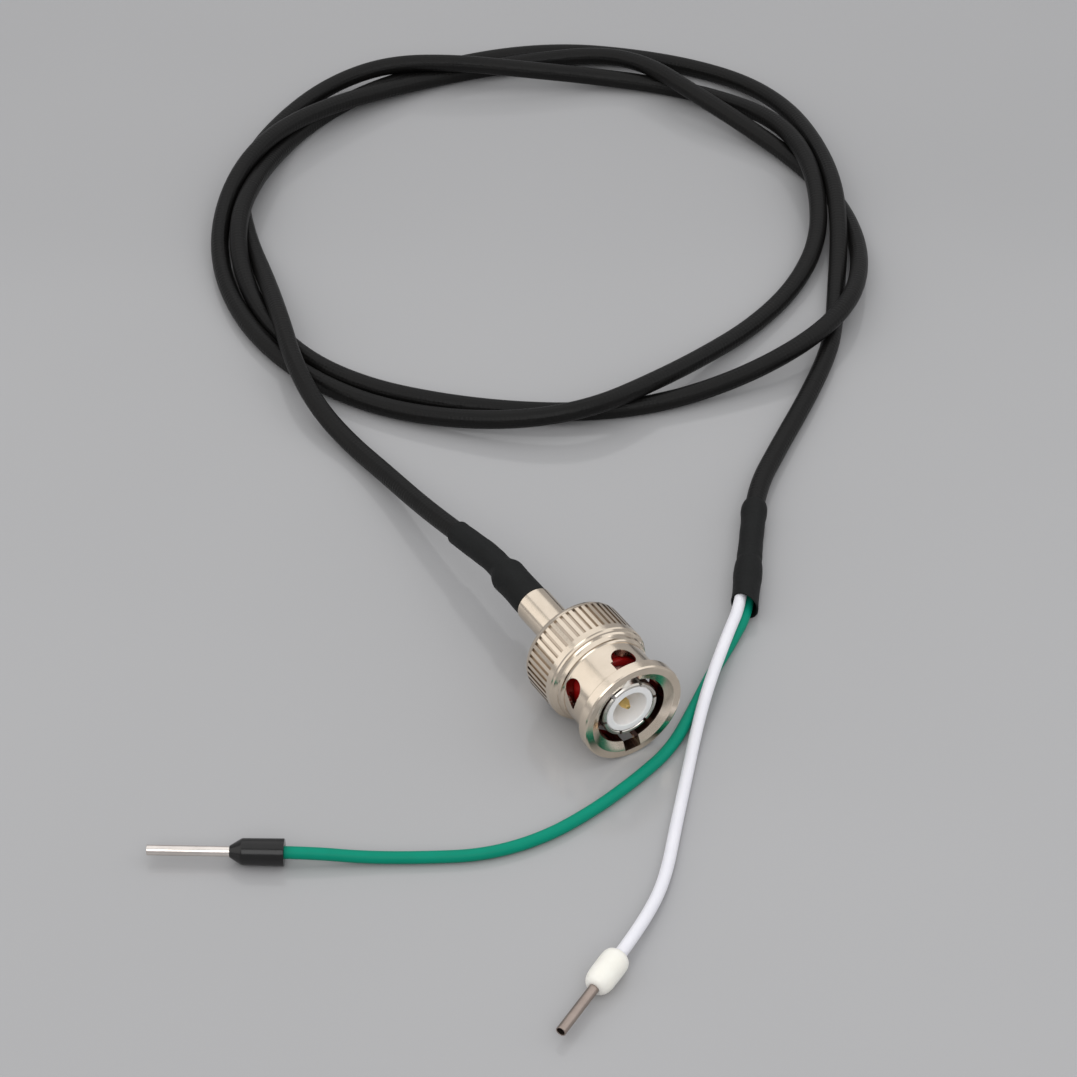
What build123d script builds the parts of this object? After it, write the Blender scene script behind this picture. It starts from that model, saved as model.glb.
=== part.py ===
from build123d import *
import math
import os

# BNC cable plug with a thin coaxial lead in a loose coil, a heat-shrunk
# breakout and two single wires that end in insulated ferrules.
# Millimetres, +Z up.  The lead lies on a table top at z = 0.  The plug's axis
# is horizontal, along Y, and the plug mates towards -Y.  The origin is on the
# table under the middle of the plug (coupling nut front to crimp ferrule rear).

# ---------------------------------------------------------------- driving sizes
AXIS_Z = 7.25            # plug axis above the table = largest radius of the nut
FRONT = -15.5            # y of the coupling nut's front face

NUT_R = 7.25             # flange and knurl radius
NUT_LEN = 15.0
FLANGE_T = 1.68
SLEEVE_R = 6.15
SLEEVE_END = 6.9
COUPLING_BORE_R = 4.95   # clears the jack's 9.7 mm barrel
FACE_BEVEL_R = 6.1        # mouth of the nut: a shallow cone down to the bore
FACE_BEVEL_D = 0.62
NUT_REAR_HOLE_R = 2.62
NUT_WALL_A = 12.9        # front side of the nut's rear wall
RING_A = 9.0             # snap ring groove
KNURLS = 48
KNURL_A0, KNURL_A1 = 9.5, 13.95
KNURL_DEPTH, KNURL_W = 0.26, 0.42

SLOT_W = 2.3             # bayonet slot width, jack lug is 1.95
SLOT_ENTRY_A = 4.0       # where the axial entry ends and the ramp starts
DETENT_A = 5.57          # the lug's seat
DETENT_TURN = 105.0      # degrees from ramp start to the seat
DETENT_HOLE_R = 1.45
START_HOLE_R = 1.6
SLOT_FLOOR_R = 5.75      # depth of the blind part of the ramp

CONTACT_OR, CONTACT_IR = 4.05, 3.5      # slotted outer contact
CONTACT_ROOT_R, CONTACT_STEP_A = 3.85, 4.75
CONTACT_A0, CONTACT_A1 = 0.8, 9.4
CONTACT_SLOTS, CONTACT_SLOT_W, CONTACT_SLOT_END = 6, 0.45, 4.6

PTFE_OR, PTFE_CAVITY_R = 3.45, 2.52
PTFE_A0, PTFE_FLOOR_A, PTFE_A1 = 0.85, 5.6, 9.4

PIN_R = 0.675
PIN_TIP_A, PIN_SEAT_A, PIN_A1 = 1.2, 5.3, 12.6

BODY_NECK_R = 2.55
BODY_NECK_A = 24.4
BODY_FLANGE_R = 4.88
BODY_A, BODY_FLANGE_A = 8.1, 10.1
TAIL_OR, TAIL_IR, TAIL_A = 1.25, 0.82, 30.3

FERRULE_OR, FERRULE_IR, FERRULE_A0, FERRULE_A1 = 2.05, 1.62, 24.5, 31.0
BOOT_R1, BOOT_R2 = 2.35, 1.73

COAX_R = 1.35            # 2.7 mm miniature coax
WIRE_R = 0.8             # 1.6 mm single wires
WIRE_Z = 0.81            # a wire lying on the table

COIL_H = 5.7             # two turns high
COIL_C = (48.95, 87.8)

SLEEVE_S = Vector(39.46, 15.02, 1.95)   # breakout sleeve, cable end
SLEEVE_M = Vector(26.71, -1.37, 1.95)   # breakout sleeve, mouth

TUBE_OR, TUBE_IR = 0.66, 0.52
BLACK_L, GREEN_TUBE_L = 6.8, 10.25      # collar, and the tube that shows: the 10 mm size
WHITE_L, WHITE_TUBE_L = 6.0, 7.75       # the 8 mm size

os.makedirs("parts", exist_ok=True)
PARTS = {}


def ay(a):
    """y of a station measured back from the nut's front face."""
    return FRONT + a


def turned(points):
    """Solid of revolution about the plug axis, points are (station, radius)."""
    prof = make_face(Polyline(*[(r, ay(a)) for a, r in points], close=True))
    return Pos(0, 0, AXIS_Z) * revolve(prof, Axis.Y, 360)


def tube(a0, a1, ro, ri):
    return turned([(a0, ri), (a0, ro), (a1, ro), (a1, ri)])


def radial(a, deg, r0, r1, rad):
    """Radial cylinder; deg is measured from +Z towards +X."""
    d = Vector(math.sin(math.radians(deg)), 0, math.cos(math.radians(deg)))
    pl = Plane(origin=Vector(0, ay(a), AXIS_Z) + d * r0, z_dir=d)
    return pl * Cylinder(rad, r1 - r0, align=(Align.CENTER, Align.CENTER, Align.MIN))


def radial_box(a0, a1, deg, r0, r1, w):
    d = Vector(math.sin(math.radians(deg)), 0, math.cos(math.radians(deg)))
    pl = Plane(origin=Vector(0, ay((a0 + a1) / 2), AXIS_Z) + d * r0, x_dir=(0, 1, 0), z_dir=d)
    return pl * Box(a1 - a0, w, r1 - r0, align=(Align.CENTER, Align.CENTER, Align.MIN))


def along(p, q, points):
    """Solid of revolution about the line from p to q, points (station, radius)."""
    d = (q - p).normalized()
    pl = Plane(origin=p, x_dir=d.cross(Vector(0, 0, 1)), z_dir=d)
    prof = make_face(Polyline(*[(r, 0, t) for t, r in points], close=True))
    return pl * revolve(prof, Axis.Z, 360)


def rod(p, q, r):
    d = q - p
    return Plane(origin=p, z_dir=d.normalized()) * Cylinder(
        r, d.length, align=(Align.CENTER, Align.CENTER, Align.MIN))


def cord_radii(pts):
    v = [Vector(*p) for p in pts]
    out = []
    for i in range(1, len(v) - 1):
        a, b = v[i] - v[i - 1], v[i + 1] - v[i]
        turn = math.radians(a.get_angle(b))
        out.append(0.45 * min(a.length, b.length) / math.tan(turn / 2))
    return out


def cord_path(pts):
    return FilletPolyline(*[tuple(p) for p in pts], radius=cord_radii(pts))


def cord(name, pts, r):
    radii = cord_radii(pts)
    path = cord_path(pts)
    s = sweep(Plane(origin=path @ 0, z_dir=path % 0) * Circle(r), path=path)
    print(name, "length %.1f" % path.length, "runs",
          [round((Vector(*b) - Vector(*a)).length, 1) for a, b in zip(pts, pts[1:])],
          "radii", [round(x, 1) for x in radii],
          "volume ratio %.4f" % (s.volume / (math.pi * r * r * path.length)),
          "lowest %.3f" % s.bounding_box().min.Z)
    PARTS[name] = s
    return path


# ================================================================ the plug
# coupling nut: flange, sleeve, polished steps, rim and knurl; open bore
nut = turned([
    (0, FACE_BEVEL_R), (0, NUT_R - 0.28), (0.06, NUT_R - 0.12), (0.28, NUT_R), (FLANGE_T - 0.16, NUT_R),
    (FLANGE_T, NUT_R - 0.16), (FLANGE_T, SLEEVE_R),
    (SLEEVE_END, SLEEVE_R), (SLEEVE_END + 0.14, SLEEVE_R + 0.05), (SLEEVE_END + 0.28, SLEEVE_R + 0.2),
    (SLEEVE_END + 0.34, SLEEVE_R + 0.4), (7.75, SLEEVE_R + 0.42), (7.95, SLEEVE_R + 0.5),
    (8.15, SLEEVE_R + 0.7), (8.24, NUT_R - 0.22), (8.5, NUT_R - 0.14), (8.62, NUT_R),
    (13.9, NUT_R), (14.3, NUT_R - 0.06), (14.65, NUT_R - 0.22), (14.9, NUT_R - 0.46), (NUT_LEN, NUT_R - 0.75),
    (NUT_LEN, NUT_REAR_HOLE_R), (NUT_WALL_A, NUT_REAR_HOLE_R), (NUT_WALL_A, COUPLING_BORE_R),
    (RING_A + 0.3, COUPLING_BORE_R), (RING_A + 0.3, 5.35), (RING_A - 0.3, 5.35), (RING_A - 0.3, COUPLING_BORE_R),
    (FACE_BEVEL_D, COUPLING_BORE_R)])
cutters = []
for side in (0, 180):
    # entry: a blind groove through the flange, a through slot behind it
    cutters.append(radial_box(-0.5, FLANGE_T + 0.1, side, 4.5, FACE_BEVEL_R + 0.07, SLOT_W))
    cutters.append(radial_box(-0.5, SLOT_ENTRY_A, side, 4.5, 5.95, SLOT_W))
    cutters.append(radial_box(FLANGE_T, SLOT_ENTRY_A, side, 4.5, 6.6, SLOT_W - 0.15))
    cutters.append(radial(SLOT_ENTRY_A, side + 8.5, 4.5, 7.0, START_HOLE_R))
    # blind ramp, climbing towards the cable as it turns
    steps = 18
    for i in range(steps + 1):
        f = i / steps
        cutters.append(radial(SLOT_ENTRY_A + (DETENT_A - SLOT_ENTRY_A) * f,
                              side + 8 + DETENT_TURN * f, 4.5, SLOT_FLOOR_R, SLOT_W / 2))
    # seat of the lug, a round window with a tapering tail along the ramp
    end = side + 8 + DETENT_TURN
    cutters.append(radial(DETENT_A, end, 4.5, 7.0, DETENT_HOLE_R))
    for da, dt, rad in ((0.34, 8, 1.02), (0.55, 13, 0.72), (0.72, 17.5, 0.45), (0.84, 21, 0.22)):
        cutters.append(radial(DETENT_A - da, end - dt, 4.5, 7.0, rad))
for i in range(KNURLS):
    cutters.append(radial_box(KNURL_A0, KNURL_A1, 360.0 * i / KNURLS + 3.75,
                              NUT_R - KNURL_DEPTH, NUT_R + 0.6, KNURL_W))
nut = nut - cutters
PARTS["coupling_nut"] = nut

# snap ring in the nut's groove, in front of the body's flange
ring = tube(RING_A - 0.24, RING_A + 0.18, 5.28, 4.56) - radial_box(RING_A - 1, RING_A + 1, 40, 4.0, 5.6, 3.2)
PARTS["retaining_ring"] = ring

# plug body: front barrel, flange, neck with a rear chamfer, crimp tail
PARTS["plug_body"] = turned([
    (BODY_A, CONTACT_ROOT_R), (BODY_A, 4.45), (RING_A + 0.25, 4.45), (RING_A + 0.25, BODY_FLANGE_R), (BODY_FLANGE_A, BODY_FLANGE_R),
    (BODY_FLANGE_A, BODY_NECK_R), (BODY_NECK_A - 0.3, BODY_NECK_R), (BODY_NECK_A, BODY_NECK_R - 0.22),
    (BODY_NECK_A, TAIL_OR), (TAIL_A, TAIL_OR), (TAIL_A, TAIL_IR), (13.2, TAIL_IR), (13.2, 1.6),
    (11.2, 1.6), (11.2, 2.0), (CONTACT_A1, 2.0), (CONTACT_A1, CONTACT_ROOT_R)])

# slotted outer contact, a thin sleeve pressed into the body
contact = turned([(CONTACT_A0, CONTACT_IR + 0.08), (CONTACT_A0, CONTACT_OR - 0.16),
                  (CONTACT_A0 + 0.22, CONTACT_OR), (CONTACT_STEP_A, CONTACT_OR), (CONTACT_STEP_A + 0.1, CONTACT_ROOT_R),
                  (CONTACT_A1, CONTACT_ROOT_R), (CONTACT_A1, CONTACT_IR),
                  (CONTACT_A0 + 0.1, CONTACT_IR)])
contact = contact - [radial_box(0, CONTACT_SLOT_END, 22 + 60 * i, 3.0, 4.6, CONTACT_SLOT_W)
                     for i in range(CONTACT_SLOTS)]
PARTS["outer_contact"] = contact

# front insulator, a cup around the pin
PARTS["front_insulator"] = turned([
    (PTFE_A0, PTFE_CAVITY_R + 0.1), (PTFE_A0, PTFE_OR - 0.12), (PTFE_A0 + 0.12, PTFE_OR), (PTFE_A1, PTFE_OR),
    (PTFE_A1, 0.92), (6.0, 0.92), (6.0, 0.70), (PTFE_FLOOR_A, 0.70), (PTFE_FLOOR_A, PTFE_CAVITY_R),
    (PTFE_A0 + 0.1, PTFE_CAVITY_R)])
PARTS["rear_insulator"] = turned([(PTFE_A1, 0.82), (PTFE_A1, 1.98), (11.2, 1.98), (11.2, 0.82)])

# centre contact with its solder cup
PARTS["centre_contact"] = turned([
    (PIN_TIP_A, 0), (PIN_TIP_A, 0.22), (PIN_TIP_A + 0.06, 0.30), (PIN_TIP_A + 0.9, PIN_R), (PIN_SEAT_A, PIN_R), (6.0, 0.62),
    (6.0, 0.9), (PTFE_A1, 0.9), (PTFE_A1, 0.8), (PIN_A1, 0.8), (PIN_A1, 0.3), (10.4, 0.3), (10.4, 0)])

# gasket on the outer contact's root
PARTS["gasket"] = turned([(5.0, 3.92), (5.0, 4.68), (5.14, 4.82), (BODY_A, 4.82), (BODY_A, 3.92)])

# thrust washer on the nut's rear wall
PARTS["thrust_washer"] = tube(12.45, NUT_WALL_A - 0.02, 4.8, 2.65)


def wave(a0, a1, ri, ro, t, waves, turns, n=36):
    """Crest-to-crest wave washer stack, as one closed shell per turn."""
    solids = []
    pitch = (a1 - a0 - t) / turns
    for k in range(turns):
        mid = a0 + t / 2 + pitch * (k + 0.5)
        amp = pitch / 2 * 0.98
        sgn = 1 if k % 2 == 0 else -1
        top, bot = [], []
        for i in range(n):
            th = 2 * math.pi * i / n
            c = mid + sgn * amp * math.cos(waves * th)
            for lst, off in ((top, t / 2 * 0.98), (bot, -t / 2 * 0.98)):
                lst.append([Vector(r * math.sin(th), ay(c + off), AXIS_Z + r * math.cos(th)) for r in (ri, ro)])
        faces = []

        def tri(p, q, s):
            faces.append(Face(Wire.make_polygon([p, q, s], close=True)))
        for i in range(n):
            j = (i + 1) % n
            for quad in ((top[i][0], top[i][1], top[j][1], top[j][0]), (bot[i][0], bot[j][0], bot[j][1], bot[i][1]),
                         (top[i][1], bot[i][1], bot[j][1], top[j][1]), (top[i][0], top[j][0], bot[j][0], bot[i][0])):
                tri(quad[0], quad[1], quad[2])
                tri(quad[0], quad[2], quad[3])
        s = Solid(Shell(faces))
        if s.volume < 0:
            s = -s
        solids.append(s)
    return solids


waves = wave(BODY_FLANGE_A, 12.45, 2.95, 4.7, 0.28, 3, 3)
PARTS["wave_spring"] = Compound(children=waves)

# cable end inside the plug
PARTS["cable_conductor"] = turned([(10.5, 0), (10.5, 0.24), (30.7, 0.24), (30.7, 0)])
PARTS["cable_dielectric"] = tube(13.3, 30.7, 0.78, 0.25)
PARTS["cable_braid"] = tube(24.5, 30.5, 1.6, 1.27)
PARTS["crimp_ferrule"] = tube(FERRULE_A0, FERRULE_A1, FERRULE_OR, FERRULE_IR)

# ================================================================ the lead
# route of the stretch between the plug and the coil: level out of the plug,
# sloping down to the table, then up over the turns of the coil
LEAD = [(0, 15.2, 7.25), (0, 19.4, 7.25), (-0.42, 27.4, 5.80), (-0.78, 37.0, 4.05), (-0.62, 47.6, 2.2),
        (-1.15, 56.6, 1.42), (-2.0, 64.4, 2.9), (-1.5, 69.8, 4.0), (-0.6, 73.4, 4.1)]
lead_path = cord("coax_lead", LEAD, COAX_R)

# heat-shrink boot: over the crimp ferrule, a shoulder, then down on the cable
boot_front = turned([
    (24.45, 2.08), (24.45, BOOT_R1 - 0.06), (24.55, BOOT_R1), (30.9, BOOT_R1), (31.3, BOOT_R1 - 0.08), (31.8, BOOT_R1 - 0.3),
    (32.3, BOOT_R2 + 0.1), (32.6, BOOT_R2), (33.0, BOOT_R2), (33.0, 1.40), (31.05, 1.40), (31.05, 2.08)])
v1, v2 = Vector(*LEAD[1]), Vector(*LEAD[2])
boot_end = v1 + (v2 - v1).normalized() * 7.7
boot_path = FilletPolyline((0, ay(33.0), AXIS_Z), LEAD[1], tuple(boot_end), radius=[cord_radii(LEAD)[0] * 0.999])
boot_rear = sweep(Plane(origin=boot_path @ 0, z_dir=boot_path % 0) * (Circle(BOOT_R2) - Circle(1.40)), path=boot_path)
PARTS["strain_boot"] = boot_front + boot_rear
print("boot end", boot_end)

# the loose coil, the closed outer shape of its two and a half turns
OUTER = {0: 50.8, 15: 51.6, 30: 51.5, 45: 50.0, 60: 49.0, 75: 47.9, 90: 49.4, 105: 50.2, 120: 50.1, 135: 49.2, 150: 49.8,
         165: 50.5, 180: 51.0, 195: 52.2, 210: 51.3, 225: 51.0, 240: 50.9, 255: 49.8, 270: 50.3, 285: 52.2, 300: 52.6, 315: 52.0,
         330: 49.9, 345: 48.6}
INNER = {0: 39.6, 15: 38.9, 30: 39.4, 45: 38.4, 60: 37.9, 75: 38.8, 90: 41.0, 105: 41.4, 120: 42.4, 135: 42.6, 150: 42.2,
         165: 41.9, 180: 42.6, 195: 45.0, 210: 44.6, 225: 44.1, 240: 44.0, 255: 43.0, 270: 40.2, 285: 39.3, 300: 39.3, 315: 40.1,
         330: 41.2, 345: 41.6}


def closed_outline(tab):
    pts = [(COIL_C[0] + r * math.cos(math.radians(a)), COIL_C[1] + r * math.sin(math.radians(a))) for a, r in sorted(tab.items())]
    return make_face(FilletPolyline(*pts, radius=9.0, close=True))


coil = extrude(closed_outline(OUTER), COIL_H) - Pos(0, 0, -1) * extrude(closed_outline(INNER), COIL_H + 2)
PARTS["coax_coil"] = coil

# the stretch between the coil and the breakout sleeve
sd = (SLEEVE_M - SLEEVE_S).normalized()
tail_end = SLEEVE_S + sd * 2.0
TAIL = [(70.2, 40.64, 1.36), (60.4, 31.9, 1.36), (49.6, 24.1, 1.38),
        tuple(SLEEVE_S - sd * 3.6), tuple(tail_end)]
cord("coax_tail", TAIL, COAX_R)

# ================================================================ the breakout
sn = Vector(0, 0, 1).cross(sd).normalized() * -1      # sideways, away from the coil's middle
if sn.X > 0:
    sn = sn * -1
up = Vector(0, 0, 1)
WHITE_OFF = sn * 0.52 + up * 0.615
GREEN_OFF = WHITE_OFF * -1
PARTS["breakout_sleeve"] = along(SLEEVE_S, SLEEVE_M, [
    (0, 1.40), (0, 1.60), (0.25, 1.73), (1.5, 1.78), (2.2, 1.70), (3.2, 1.66), (9.0, 1.66), (11.0, 1.68), (13.0, 1.80),
    (14.4, 1.90), (15.6, 1.94), (17.2, 1.90), (19.4, 1.85), (20.5, 1.84), (20.77, 1.78), (20.77, 1.64), (14.2, 1.64),
    (13.4, 1.47), (3.4, 1.47), (3.0, 1.40)])


def sleeve_pt(t, off, k=1.0):
    return SLEEVE_S + sd * t + off * k


K = 0.72 / 0.805
PARTS["core_splice"] = along(sleeve_pt(7.0, WHITE_OFF, K), sleeve_pt(11.5, WHITE_OFF, K), [(0, 0.46), (0, 0.68), (4.5, 0.68), (4.5, 0.46)])
PARTS["shield_splice"] = along(sleeve_pt(8.6, GREEN_OFF, K), sleeve_pt(13.1, GREEN_OFF, K), [(0, 0.46), (0, 0.68), (4.5, 0.68), (4.5, 0.46)])
PARTS["core_tail"] = rod(sleeve_pt(2.02, WHITE_OFF, 0.55), sleeve_pt(7.0, WHITE_OFF, K * 0.985), 0.30) + rod(
    sleeve_pt(6.9, WHITE_OFF, K), sleeve_pt(9.0, WHITE_OFF, K), 0.38)
PARTS["braid_pigtail"] = rod(sleeve_pt(2.02, GREEN_OFF, 0.6), sleeve_pt(8.6, GREEN_OFF, K * 0.985), 0.34) + rod(
    sleeve_pt(8.5, GREEN_OFF, K), sleeve_pt(10.6, GREEN_OFF, K), 0.40)

# ================================================================ the two wires
WHITE_END = Vector(-21.04, -45.12, 1.84)      # rear of the white collar
WHITE_DIR = Vector(-0.884, -0.468, 0).normalized()
GREEN_END = Vector(-46.97, -9.06, 1.76)      # rear of the black collar
GREEN_DIR = Vector(-0.8395, 0.5438, 0).normalized()

WHITE = [tuple(SLEEVE_M - sd * 5.4 + WHITE_OFF), tuple(SLEEVE_M + sd * 0.3 + WHITE_OFF), (21.3, -5.3, 2.56),
         (13.3, -12.5, 2.44), (7.9, -17.9, 1.16), (2.6, -23.8, WIRE_Z), (-2.9, -29.9, WIRE_Z), (-7.7, -35.4, 0.86),
         (-11.9, -39.3, 1.15), tuple(WHITE_END - WHITE_DIR * 3.0), tuple(WHITE_END + WHITE_DIR * 2.0)]
GREEN = [tuple(SLEEVE_M - sd * 5.4 + GREEN_OFF), tuple(SLEEVE_M + sd * 0.3 + GREEN_OFF), (21.7, -5.5, WIRE_Z),
         (16.4, -9.0, WIRE_Z), (11.0, -13.1, WIRE_Z), (4.3, -17.95, WIRE_Z), (-2.7, -20.3, WIRE_Z), (-10.2, -22.1, WIRE_Z),
         (-18.0, -22.9, WIRE_Z), (-25.6, -21.6, WIRE_Z), (-32.4, -18.0, 0.83), (-38.8, -14.2, 1.0),
         tuple(GREEN_END - GREEN_DIR * 3.5), tuple(GREEN_END + GREEN_DIR * 2.0)]
cord("white_wire", WHITE, WIRE_R)
cord("green_wire", GREEN, WIRE_R)


def ferrule(collar, tube_name, end, d, length, tube_length, funnel, profile):
    """Insulating collar and metal tube, end is the collar's rear centre."""
    tip = end + d * 30
    PARTS[collar] = along(end, tip, profile)
    # metal tube: a funnel where it grips inside the collar, plain outside
    PARTS[tube_name] = along(end, tip, [
        (2.6, 0.70), (2.6, 0.84), (funnel, 0.80), (length - 0.05, TUBE_OR), (length + tube_length, TUBE_OR), (length + tube_length, TUBE_IR),
        (length - 0.05, TUBE_IR), (funnel, 0.66)])


ferrule("black_collar", "green_ferrule_tube", GREEN_END, GREEN_DIR, BLACK_L, GREEN_TUBE_L, 4.2, [
    (0, 0.86), (0, 1.68), (0.12, 1.76), (BLACK_L - 1.5, 1.70), (BLACK_L - 1.35, 1.64), (BLACK_L - 0.12, 0.78), (BLACK_L, 0.70),
    (BLACK_L, 0.67), (4.2, 0.81), (2.55, 0.86)])
ferrule("white_collar", "white_ferrule_tube", WHITE_END, WHITE_DIR, WHITE_L, WHITE_TUBE_L, 3.9, [
    (0, 0.86), (0, 1.05), (0.08, 1.30), (0.3, 1.55), (0.62, 1.72), (1.1, 1.81), (1.8, 1.83), (4.2, 1.80), (4.75, 1.74), (5.27, 1.58),
    (5.66, 1.34), (5.9, 1.05), (WHITE_L, 0.80), (WHITE_L, 0.67), (3.9, 0.81), (2.55, 0.86)])


def strands(end, d, off, t_splice, reach):
    """Bare strands at both ends of a wire: in the ferrule and in the splice."""
    p = sleeve_pt(t_splice - 2.0, off, K)
    q = sleeve_pt(15.3, off)
    back = rod(p, sleeve_pt(t_splice + 0.3, off, K), 0.40) + rod(sleeve_pt(t_splice + 0.2, off, K), q, 0.34)
    return [rod(end + d * 2.05, end + d * (reach - 2.0), 0.48), back]


PARTS["white_strands"] = Compound(children=strands(WHITE_END, WHITE_DIR, WHITE_OFF, 11.5, WHITE_L + WHITE_TUBE_L))
PARTS["green_strands"] = Compound(children=strands(GREEN_END, GREEN_DIR, GREEN_OFF, 13.1, BLACK_L + GREEN_TUBE_L))

for name, shape in PARTS.items():
    export_step(shape, "parts/%s.step" % name)
print(len(PARTS), "nodes")
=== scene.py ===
import math

import bmesh
import bpy
import numpy as np
from mathutils import Matrix, Vector, noise


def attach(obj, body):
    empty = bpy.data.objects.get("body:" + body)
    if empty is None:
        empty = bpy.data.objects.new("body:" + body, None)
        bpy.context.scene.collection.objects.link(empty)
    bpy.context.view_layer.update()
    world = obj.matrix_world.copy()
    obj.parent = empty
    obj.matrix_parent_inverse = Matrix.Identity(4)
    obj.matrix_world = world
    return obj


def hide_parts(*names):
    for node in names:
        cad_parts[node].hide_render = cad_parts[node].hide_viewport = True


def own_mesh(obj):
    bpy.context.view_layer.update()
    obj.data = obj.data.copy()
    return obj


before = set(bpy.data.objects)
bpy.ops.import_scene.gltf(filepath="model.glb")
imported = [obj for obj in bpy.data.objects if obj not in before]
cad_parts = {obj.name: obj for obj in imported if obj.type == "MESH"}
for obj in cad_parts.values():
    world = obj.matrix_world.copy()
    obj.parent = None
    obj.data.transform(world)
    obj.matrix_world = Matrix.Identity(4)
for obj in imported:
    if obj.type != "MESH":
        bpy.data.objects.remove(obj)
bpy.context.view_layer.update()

MM = 0.001
scene = bpy.context.scene
scene.view_settings.view_transform = "Standard"
scene.view_settings.look = "None"

# ------------------------------------------------------------------ camera
AZ, EL, DIST = math.radians(-31.5), math.radians(41.0), 0.474
TARGET = Vector((0.01168, 0.02665, 0.0))
BACK = Vector((math.sin(AZ) * math.cos(EL), -math.cos(AZ) * math.cos(EL), math.sin(EL)))
cam_data = bpy.data.cameras.new("camera")
cam_data.sensor_width = 36.0
cam_data.lens = 115.56
cam_data.clip_start, cam_data.clip_end = 0.01, 10.0
cam = bpy.data.objects.new("camera", cam_data)
scene.collection.objects.link(cam)
cam.location = TARGET + BACK * DIST
cam.rotation_mode = "QUATERNION"
cam.rotation_quaternion = (-BACK).to_track_quat("-Z", "Y")
scene.camera = cam


# ------------------------------------------------------------------ node helpers
class Mat:
    """A material's node tree, built up by name."""

    def __init__(self, name):
        self.m = bpy.data.materials.new(name)
        self.m.use_nodes = True
        self.t = self.m.node_tree
        self.b = self.t.nodes["Principled BSDF"]

    def node(self, kind, **settings):
        n = self.t.nodes.new(kind)
        for k, v in settings.items():
            setattr(n, k, v)
        return n

    def link(self, a, b):
        self.t.links.new(a, b)

    def put(self, node, **values):
        for k, v in values.items():
            node.inputs[k.replace("_", " ")].default_value = v

    def coord(self, which="Object", scale=(1, 1, 1), rot=(0, 0, 0), loc=(0, 0, 0)):
        c = self.node("ShaderNodeTexCoord")
        mp = self.node("ShaderNodeMapping")
        mp.inputs["Scale"].default_value = scale
        mp.inputs["Rotation"].default_value = rot
        mp.inputs["Location"].default_value = loc
        self.link(c.outputs[which], mp.inputs["Vector"])
        return mp.outputs["Vector"]

    def noise(self, vec, scale, detail=4.0, rough=0.55, dist=0.0):
        n = self.node("ShaderNodeTexNoise")
        n.inputs["Scale"].default_value = scale
        n.inputs["Detail"].default_value = detail
        n.inputs["Roughness"].default_value = rough
        n.inputs["Distortion"].default_value = dist
        self.link(vec, n.inputs["Vector"])
        return n.outputs["Fac"]

    def ramp(self, fac, stops, mode="LINEAR"):
        r = self.node("ShaderNodeValToRGB")
        r.color_ramp.interpolation = mode
        e = r.color_ramp.elements
        while len(e) < len(stops):
            e.new(0.5)
        for i, (p, c) in enumerate(stops):
            e[i].position = p
            e[i].color = (*c, 1.0) if len(c) == 3 else c
        self.link(fac, r.inputs["Fac"])
        return r.outputs["Color"]

    def span(self, fac, lo, hi, a=0.0, b=1.0):
        r = self.node("ShaderNodeMapRange")
        r.inputs["From Min"].default_value = a
        r.inputs["From Max"].default_value = b
        r.inputs["To Min"].default_value = lo
        r.inputs["To Max"].default_value = hi
        self.link(fac, r.inputs["Value"])
        return r.outputs["Result"]

    def math(self, op, a, b=None):
        n = self.node("ShaderNodeMath", operation=op)
        for i, v in enumerate((a, b)):
            if v is None:
                continue
            if isinstance(v, (int, float)):
                n.inputs[i].default_value = v
            else:
                self.link(v, n.inputs[i])
        return n.outputs["Value"]

    def bump(self, height, strength, distance, normal=None):
        n = self.node("ShaderNodeBump")
        n.inputs["Strength"].default_value = strength
        n.inputs["Distance"].default_value = distance
        self.link(height, n.inputs["Height"])
        if normal is not None:
            self.link(normal, n.inputs["Normal"])
        return n.outputs["Normal"]


def lin(r, g, b):
    """sRGB 0-255 to linear."""
    return tuple(((c / 255 + 0.055) / 1.055) ** 2.4 if c > 10 else c / 255 / 12.92 for c in (r, g, b))


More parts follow.
